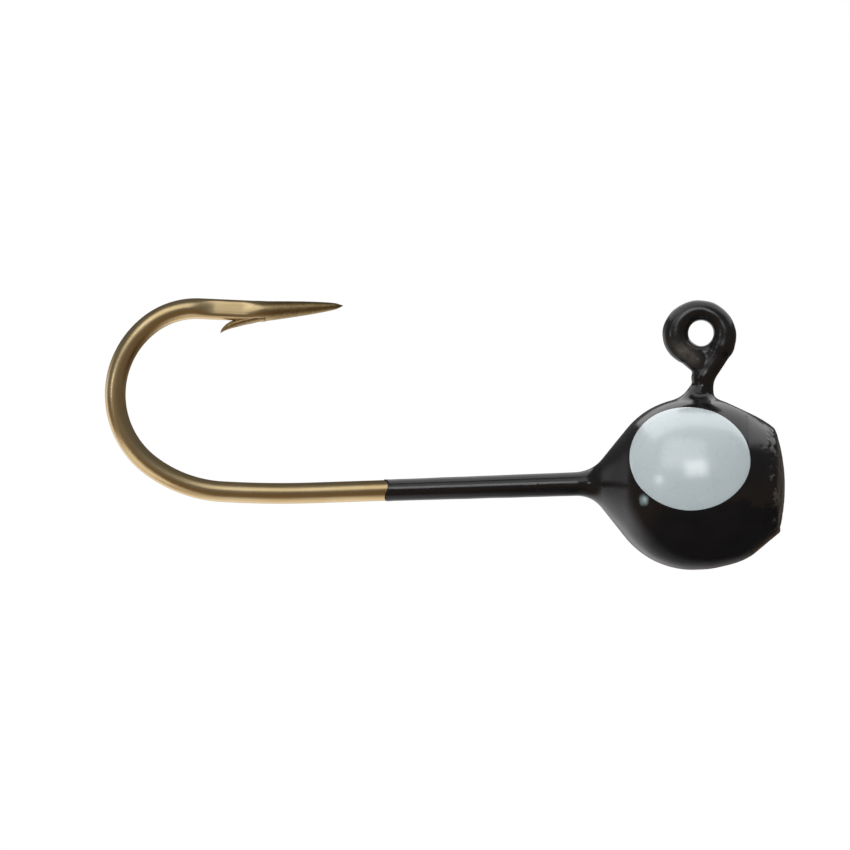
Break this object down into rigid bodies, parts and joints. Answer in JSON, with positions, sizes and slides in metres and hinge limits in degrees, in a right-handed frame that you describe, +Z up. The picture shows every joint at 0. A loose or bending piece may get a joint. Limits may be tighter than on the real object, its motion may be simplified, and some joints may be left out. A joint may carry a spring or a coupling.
{
  "type": "jig head",
  "caption": "Round lead jig head on a gold single hook, painted black over the ball, eye and upper shank, with a pale dot on each side.",
  "frame": {"origin": "centre of the line eye", "axes": "+X along the shank towards the nose of the ball, +Z up out of the ball through the line eye, on the side where the hook point lies, +Y across the plane of the hook"},
  "size_m": [0.0267, 0.0068, 0.0113],
  "materials": {
    "gold_wire": "polished",
    "lead": "satin",
    "black_paint": "gloss",
    "dot_paint": "gloss"
  },
  "bodies": {
    "root": {"hook_wire": "gold_wire", "lead_head": "lead", "black_coat": "black_paint", "left_eye_dot": "dot_paint", "right_eye_dot": "dot_paint"}
  },
  "joints": []
}
